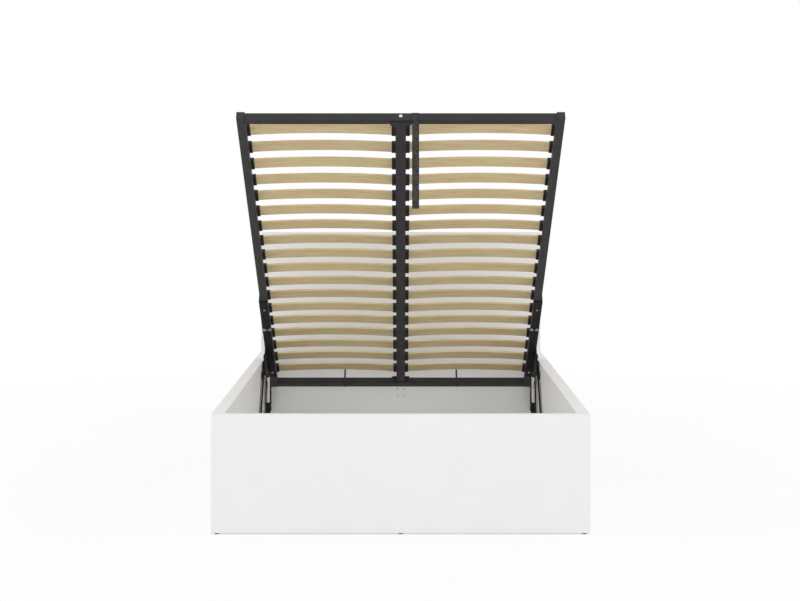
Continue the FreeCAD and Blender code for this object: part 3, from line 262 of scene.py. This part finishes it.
def webbing():
    # Woven black webbing: rows of rounded yarns between darker edges, read from the strap's own measure of
    # width and length.
    s = Shader("webbing")
    measure = s.add("ShaderNodeUVMap", uv_map="weave").outputs["UV"]
    split = s.add("ShaderNodeSeparateXYZ", {"Vector": measure}).outputs
    across = s.math("SINE", s.math("MULTIPLY", split["X"], 2 * math.pi / YARN_ACROSS))
    slanted = s.math("ADD", split["Y"], s.math("MULTIPLY", split["X"], YARN_SLANT))
    lengthways = s.math("SINE", s.math("MULTIPLY", slanted, 2 * math.pi / YARN_ALONG))
    weave = s.math("MULTIPLY", across, lengthways)
    height = s.math("ADD", s.math("MULTIPLY", weave, 0.5), 0.5)
    patches = s.math("SUBTRACT", s.noise(s.place(), 150.0), 0.5)
    # Painted shade: the yarns' colour follows their height, darker in the hollows between them and paler on
    # their crowns, with random speckle on top
    yarn_shade_speckle = s.math("ADD", height, s.math("MULTIPLY", patches, WEBBING_SPECKLE))
    yarns = s.tones(yarn_shade_speckle, grey(0.006), grey(0.056))
    edging = s.tones(yarn_shade_speckle, grey(0.006), grey(0.022))
    at_edge = s.math("GREATER_THAN", s.math("ABSOLUTE", split["X"]), WEBBING_EDGE)
    s.set(Base_Color=s.mix(at_edge, yarns, edging))
    s.set(Roughness=s.spread(s.noise(s.place(), 2500.0), 0.75, 0.9), Sheen_Weight=0.15)
    s.bump(height, 0.0003)
    return s.material


def thread():
    # Black sewing thread with a fine twist.
    s = Shader("thread")
    twist = s.noise(s.place(), 2200.0)
    s.set(Base_Color=s.tones(twist, (0.02, 0.02, 0.022), (0.05, 0.05, 0.055)), Roughness=0.7)
    s.bump(twist, 0.0001)
    return s.material


# Spaces that take another colour: the drilled holes and the struts' upper eyes
HOLES_HALF_WIDTH = 0.03
HOLES_HALF_DEPTH = 0.012
HOLES_SETBACK = 0.0003
EYE_REACH = 0.0128
PAST_BOTH_SIDES = 1.0


def drilled_box():
    # Centre and half sizes of the space that the headboard's four holes take behind its face.
    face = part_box("headboard")[0].y
    mount = next(m for m in frame["record"]["mounts"] if m["name"] == "headboard_holes")
    centre = (mount["pos_m"][0], face + HOLES_HALF_DEPTH + HOLES_SETBACK, mount["pos_m"][2])
    return centre, (HOLES_HALF_WIDTH, HOLES_HALF_DEPTH, HOLES_HALF_WIDTH)


def eye_box():
    # Centre and half sizes of the space round the struts' upper eyes, right across the bed.
    low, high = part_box("strut_tip_pins")
    return (0.0, (low.y + high.y) / 2, (low.z + high.z) / 2), (PAST_BOTH_SIDES, EYE_REACH, EYE_REACH)


FINISHES = {
    "white_board": white_board("white_board"),
    "floor_sheet": floor_sheet(),
    "batten": softwood(),
    "black_steel": coated_steel("black_steel", 0.022, 0.029, grain=1100.0, rough=0.5, shine=0.35),
    "linkage_black": coated_steel("linkage_black", 0.008, 0.013, grain=1500.0, rough=0.6, shine=0.2),
    "black_plastic": moulded_plastic("black_plastic", 0.012, 0.017),
    "cap_plastic": moulded_plastic("cap_plastic", 0.032, 0.042),
    "glide": moulded_plastic("glide", 0.05, 0.07),
    "zinc": zinc(),
    "chrome_rod": polished_rod(eye_box()),
    "slat_wood": slat_wood(),
    "webbing": webbing(),
}
for part in frame["record"]["subparts"]:
    shown = frame["nodes"][part["node"]]
    shown.data.materials.clear()
    shown.data.materials.append(FINISHES[part["material_slot"]])
frame["nodes"]["headboard"].data.materials[0] = white_board("drilled_board", drilled_box())


# Mesh helpers
def finished(name, mesh, smooth=True):
    # Turns a bmesh into an object of the scene.
    data = bpy.data.meshes.new(name)
    mesh.to_mesh(data)
    mesh.free()
    for polygon in data.polygons:
        polygon.use_smooth = smooth
    piece = bpy.data.objects.new(name, data)
    bpy.context.scene.collection.objects.link(piece)
    return piece


def bridge(mesh, lower, upper):
    # Joins two rings with faces, and gives each face with the places of its two corners in a ring.
    count = len(lower)
    neighbours = [(j, (j + 1) % count) for j in range(count)]
    return [(mesh.faces.new((lower[j], lower[k], upper[k], upper[j])), j, k) for j, k in neighbours]


# Pull strap: one length of webbing, sewn into a loop round the foot bar, with a hemmed end
STRAP_LAYER = 0.0012
STRAP_PITCH = STRAP_LAYER * 1.08
STRAP_ROUNDING = STRAP_LAYER * 0.3
STRAP_STANDOFF = 0.0010
STRAP_WIDTH = 0.025
STRAP_DROP = 0.3155
STRAP_LAP = 0.046
STRAP_HEM = 0.024
STRAP_BEND = 0.0016
STRAP_STEP = 0.008
STITCH_LENGTH = 0.0026
STITCH_GAP = 0.0010
STITCH_RADIUS = 0.00035
SEAM_INSET = 0.0035
SEAM_BELOW_BAR = 0.008
# The greatest share of a straight run that a corner's arc takes
CUT_SHARE = 0.45


def node_span(name, direction):
    # Least and greatest reach of a CAD node along a direction.
    reaches = [vertex.co.dot(direction) for vertex in frame["nodes"][name].data.vertices]
    return min(reaches), max(reaches)


def on_frame(along, up):
    # A point of the side plane from its reach along the rail and across it.
    return RAIL_AXIS * along + RAIL_NORMAL * up


def rounded_path(corners, radius, steps=5):
    # Straight runs between corners, with each inner corner turned into a small arc.
    points = [corners[0]]
    for before, corner, after in zip(corners, corners[1:], corners[2:]):
        into, out = (before - corner), (after - corner)
        cut = min(radius, into.length * CUT_SHARE, out.length * CUT_SHARE)
        first, last = corner + into.normalized() * cut, corner + out.normalized() * cut
        for step in range(steps + 1):
            t = step / steps
            points.append(first * (1 - t) ** 2 + corner * 2 * t * (1 - t) + last * t ** 2)
    points.append(corners[-1])
    return points


def divided(points, step):
    # Adds points to long straight runs.
    run = [points[0]]
    for start, end in zip(points, points[1:]):
        count = max(1, round((end - start).length / step))
        run.extend(start.lerp(end, (i + 1) / count) for i in range(count))
    return run


def band_section(width, thickness, edge):
    # A flat section with its four corners cut, round from the lower left.
    half, thick = width / 2, thickness / 2
    return [(-half, -thick + edge), (-half + edge, -thick), (half - edge, -thick), (half, -thick + edge),
            (half, thick - edge), (half - edge, thick), (-half + edge, thick), (-half, thick - edge)]


def ribbon(name, path, centre_x, section):
    # A section swept along a path in the side plane, with its width and length measured in a UV map.
    mesh = bmesh.new()
    measure = mesh.loops.layers.uv.new("weave")
    rows, reach = [], [0.0]
    for i, point in enumerate(path):
        tangent = (path[min(i + 1, len(path) - 1)] - path[max(i - 1, 0)]).normalized()
        normal = tangent.cross(Vector((1, 0, 0)))
        rows.append([mesh.verts.new(point + Vector((centre_x + x, 0, 0)) + normal * y) for x, y in section])
        if i:
            reach.append(reach[-1] + (point - path[i - 1]).length)
    for i in range(len(rows) - 1):
        for face, j, k in bridge(mesh, rows[i], rows[i + 1]):
            for loop, (across, row) in zip(face.loops, ((j, i), (k, i), (k, i + 1), (j, i + 1))):
                loop[measure].uv = (section[across][0], reach[row])
    for row, turn in ((rows[0], -1), (rows[-1], 1)):
        mesh.faces.new(row[::turn])
    bmesh.ops.recalc_face_normals(mesh, faces=mesh.faces)
    return finished(name, mesh), reach[-1]


def strap_path():
    # From the sewn-in short end, round the foot bar and down to the hem.
    bar_inner, bar_foot = node_span("foot_bar", RAIL_AXIS)
    bar_low, bar_high = node_span("foot_bar", RAIL_NORMAL)
    off = STRAP_STANDOFF
    corner = on_frame(bar_foot, bar_low)
    outer_y = on_frame(bar_foot + off, bar_low).y
    inner_y = outer_y + STRAP_PITCH
    end_z = corner.z - STRAP_DROP
    run_in = (inner_y - on_frame(bar_foot, bar_low - off).y) / -RAIL_AXIS.y
    bend = on_frame(bar_foot - run_in, bar_low - off)
    loop = [Vector((0, inner_y, corner.z - STRAP_LAP)), bend,
            on_frame(bar_inner - off, bar_low - off), on_frame(bar_inner - off, bar_high + off),
            on_frame(bar_foot + off, bar_high + off), on_frame(bar_foot + off, bar_low)]
    hem = [Vector((0, y, z)) for y, z in ((outer_y, end_z), (inner_y, end_z), (inner_y, end_z + STRAP_HEM))]
    return divided(rounded_path(loop + hem, STRAP_BEND), STRAP_STEP), outer_y, corner.z, end_z


def stitch_line(mesh, start, end):
    # A row of short raised stitches between two points.
    length = (end - start).length
    count = max(1, int(length / (STITCH_LENGTH + STITCH_GAP)))
    direction = (end - start).normalized()
    turn = direction.to_track_quat("Z", "Y").to_matrix().to_4x4()
    stretch = Matrix.Scale(STITCH_LENGTH / 2 / STITCH_RADIUS, 4, (0, 0, 1))
    for i in range(count):
        middle = start + direction * (i + 0.5) * length / count
        matrix = Matrix.Translation(middle) @ turn @ stretch
        bmesh.ops.create_icosphere(mesh, subdivisions=2, radius=STITCH_RADIUS, matrix=matrix)


def strap_stitches(centre_x, face_y, top_z, end_z):
    # A crossed box of stitches on the lap and a plain box on the hem.
    mesh = bmesh.new()
    left, right = centre_x - STRAP_WIDTH / 2 + SEAM_INSET, centre_x + STRAP_WIDTH / 2 - SEAM_INSET
    lap_seam = (top_z - SEAM_BELOW_BAR, top_z - STRAP_LAP + SEAM_INSET, True)
    hem_seam = (end_z + STRAP_HEM - SEAM_INSET, end_z + SEAM_INSET, False)
    for high, low, crossed in (lap_seam, hem_seam):
        outline = ((left, high), (right, high), (right, low), (left, low))
        corners = [Vector((x, face_y, z)) for x, z in outline]
        sides = list(zip(corners, corners[1:] + corners[:1]))
        if crossed:
            sides += [(corners[0], corners[2]), (corners[1], corners[3])]
        for start, end in sides:
            stitch_line(mesh, start, end)
    return finished("strap_stitches", mesh)


def add_strap():
    strap_low, strap_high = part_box("pull_strap")
    centre_x = (strap_low.x + strap_high.x) / 2
    path, outer_y, top_z, end_z = strap_path()
    section = band_section(STRAP_WIDTH, STRAP_LAYER, STRAP_ROUNDING)
    strap, length = ribbon("strap", path, centre_x, section)
    strap.data.materials.append(FINISHES["webbing"])
    seam = strap_stitches(centre_x, outer_y - STRAP_LAYER / 2, top_z, end_z)
    seam.data.materials.append(thread())
    for piece in (strap, seam):
        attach(piece, "slat_frame")
    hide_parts("pull_strap")


# Small screws with a cross recess, in the plates and brackets on the boards
SCREW_RADIUS = 0.0042
SCREW_HEIGHT = 0.0022
# Shares of the radius and height from the head's foot to its flat top
SCREW_PROFILE = ((1, 0), (1, 0.45), (0.86, 0.85), (0.62, 1))
RECESS_ARM = SCREW_RADIUS * 0.55
RECESS_WAIST = SCREW_RADIUS * 0.16
RECESS_DEPTH = SCREW_HEIGHT * 0.6
RECESS_TAPER = 0.8


def cross_outline(arm, waist):
    # A plus sign: three points of one arm, repeated by quarter turns.
    points = [(arm, -waist), (arm, waist), (waist, waist)]
    outline = []
    for quarter in range(4):
        outline.extend(points)
        points = [(-y, x) for x, y in points]
    return outline


def screw_head(mesh, place, axis):
    # A domed head with a cross-shaped hollow, standing on place along axis.
    turn = axis.to_track_quat("Z", "Y").to_matrix()
    cross = cross_outline(RECESS_ARM, RECESS_WAIST)
    angles = [math.atan2(y, x) for x, y in cross]

    def ring(points, height):
        return [mesh.verts.new(place + turn @ Vector((x, y, height))) for x, y in points]

    def circle(radius):
        return [(radius * math.cos(angle), radius * math.sin(angle)) for angle in angles]

    rings = [ring(circle(SCREW_RADIUS * across), SCREW_HEIGHT * up) for across, up in SCREW_PROFILE]
    rings.append(ring(cross, SCREW_HEIGHT))
    floor = [(x * RECESS_TAPER, y * RECESS_TAPER) for x, y in cross]
    rings.append(ring(floor, SCREW_HEIGHT - RECESS_DEPTH))
    for lower, upper in zip(rings, rings[1:]):
        bridge(mesh, lower, upper)
    mesh.faces.new(rings[-1])
    mesh.faces.new(rings[0][::-1])


def add_screws(name, places):
    mesh = bmesh.new()
    for place, axis in places:
        screw_head(mesh, Vector(place), Vector(axis))
    bmesh.ops.recalc_face_normals(mesh, faces=mesh.faces)
    screws = finished(name, mesh, smooth=False)
    screws.data.materials.append(FINISHES["zinc"])
    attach(screws, "bed_box")


def base_plate_screws():
    # Three along the lower edge and one high in the middle, clear of the arms.
    low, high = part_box("left_base_plate")
    inset = 0.016
    middle = (low.y + high.y) / 2
    spots = [(low.y + inset, low.z + inset), (middle, low.z + inset), (high.y - inset, low.z + inset),
             (middle, high.z - inset)]
    return [((side * -high.x, y, z), (-side, 0, 0)) for side in (1, -1) for y, z in spots]


def corner_bracket_screws():
    # Two in each leg of each bracket.
    low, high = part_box("corner_brackets")
    wall, along, inset = 0.003, 0.028, 0.017
    places = []
    for z in (low.z + inset, high.z - inset):
        for side in (1, -1):
            places.append(((side * (high.x - wall), low.y + along, z), (-side, 0, 0)))
            places.append(((side * (high.x - along), low.y + wall, z), (0, 1, 0)))
    return places


def headboard_plate_screws():
    # Three down the middle of each plate.
    low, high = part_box("headboard_plates")
    wall, inset = 0.004, 0.025
    heights = (low.z + inset, (low.z + high.z) / 2, high.z - inset)
    middle = (low.y + high.y) / 2
    return [((side * (high.x - wall), middle, z), (-side, 0, 0)) for side in (1, -1) for z in heights]


add_strap()
add_screws("base_plate_screws", base_plate_screws())
add_screws("corner_bracket_screws", corner_bracket_screws())
add_screws("headboard_plate_screws", headboard_plate_screws())


# Stage: a pale floor, a white surround and soft studio light
FLOOR_SIZE = 10.0
FLOOR_WHITE_SHARE = 0.55
FLOOR_WHITE_LEVEL = 1.10
# The floor is gone at its reach, and fades over this share of it
FLOOR_REACH = 4.0
FLOOR_FADE_SHARE = 0.6
HORIZON_LIGHT = 0.90
ZENITH_LIGHT = 0.78


def stage_material():
    # Pale floor that fades into the white surround some way off the bed.
    s = Shader("floor")
    s.set(Base_Color=s.tones(s.noise(s.place(), 3.0), grey(0.90), grey(0.92)), Roughness=0.9)
    seen = s.add("ShaderNodeEmission", {"Color": WHITE, "Strength": FLOOR_WHITE_LEVEL})
    camera_ray = s.add("ShaderNodeLightPath").outputs["Is Camera Ray"]
    share = s.math("MULTIPLY", camera_ray, FLOOR_WHITE_SHARE)
    lit = s.add("ShaderNodeMixShader",
                {0: share, 1: s.principled.outputs["BSDF"], 2: seen.outputs["Emission"]})
    shrunk = s.place([1 / FLOOR_REACH] * 3)
    inward = s.add("ShaderNodeTexGradient", {"Vector": shrunk}, gradient_type="SPHERICAL")
    solid = s.ramp(inward.outputs["Fac"], [(0.0, grey(0)), (FLOOR_FADE_SHARE, grey(1))])
    clear = s.add("ShaderNodeBsdfTransparent")
    faded = s.add("ShaderNodeMixShader", {0: solid, 1: clear.outputs["BSDF"], 2: lit.outputs["Shader"]})
    s.feed(s.tree.nodes["Material Output"].inputs["Surface"], faded.outputs["Shader"])
    return s.material


def add_floor():
    mesh = bpy.data.meshes.new("floor")
    half = FLOOR_SIZE / 2
    corners = [(-half, -half, 0), (half, -half, 0), (half, half, 0), (-half, half, 0)]
    mesh.from_pydata(corners, [], [(0, 1, 2, 3)])
    floor = bpy.data.objects.new("floor", mesh)
    bpy.context.scene.collection.objects.link(floor)
    mesh.materials.append(stage_material())


def add_world():
    # Soft light from all round, stronger from the sides than from above, and plain white where it is seen.
    world = bpy.data.worlds.new("studio")
    bpy.context.scene.world = world
    world.use_nodes = True
    w = Nodes(world.node_tree)
    direction = w.add("ShaderNodeTexCoord").outputs["Generated"]
    upward = w.add("ShaderNodeSeparateXYZ", {"Vector": direction}).outputs["Z"]
    level = w.add("ShaderNodeMapRange", {"Value": upward, "To Min": HORIZON_LIGHT, "To Max": ZENITH_LIGHT})
    soft = w.tree.nodes["Background"]
    w.feed(soft.inputs["Color"], WHITE)
    w.feed(soft.inputs["Strength"], level.outputs["Result"])
    white = w.add("ShaderNodeBackground", {"Color": WHITE, "Strength": 1.0})
    rays = w.add("ShaderNodeLightPath").outputs
    seen = w.math("MAXIMUM", rays["Is Camera Ray"], rays["Is Glossy Ray"])
    mix = w.add("ShaderNodeMixShader",
                {0: seen, 1: soft.outputs["Background"], 2: white.outputs["Background"]})
    w.feed(w.tree.nodes["World Output"].inputs["Surface"], mix.outputs["Shader"])


def add_area_light(name, place, target, size, power):
    light = bpy.data.lights.new(name, "AREA")
    light.shape = "RECTANGLE"
    light.size, light.size_y = size
    light.energy = power
    lamp = bpy.data.objects.new(name, light)
    bpy.context.scene.collection.objects.link(lamp)
    lamp.location = place
    lamp.rotation_euler = (Vector(target) - Vector(place)).to_track_quat("-Z", "Y").to_euler()


add_floor()
add_world()
add_area_light("front_softbox", place=(0.0, -6.5, 1.5), target=(0, 0, 0.6), size=(5.0, 2.4), power=40.0)
for side in (-1, 1):
    add_area_light("side_softbox", place=(side * 5.0, -0.6, 2.4), target=(0, -0.2, 0.3), size=(3.0, 2.0),
                   power=30.0)

# Camera: level, in front of the foot end, with the horizon above the picture's middle
CAMERA_DISTANCE = 5.653
CAMERA_HEIGHT = 1.224
CAMERA_LENS = 74.9
CAMERA_SENSOR = 36.0
CAMERA_SHIFT = (-0.0009, -0.158)
FRONT_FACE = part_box("front_board")[0].y
camera_data = bpy.data.cameras.new("camera")
camera_data.lens = CAMERA_LENS
camera_data.sensor_width = CAMERA_SENSOR
camera_data.shift_x, camera_data.shift_y = CAMERA_SHIFT
camera = bpy.data.objects.new("camera", camera_data)
bpy.context.scene.collection.objects.link(camera)
camera.location = (0, FRONT_FACE - CAMERA_DISTANCE, CAMERA_HEIGHT)
camera.rotation_euler = (math.radians(90), 0, 0)
bpy.context.scene.camera = camera
bpy.context.scene.view_settings.view_transform = "Standard"
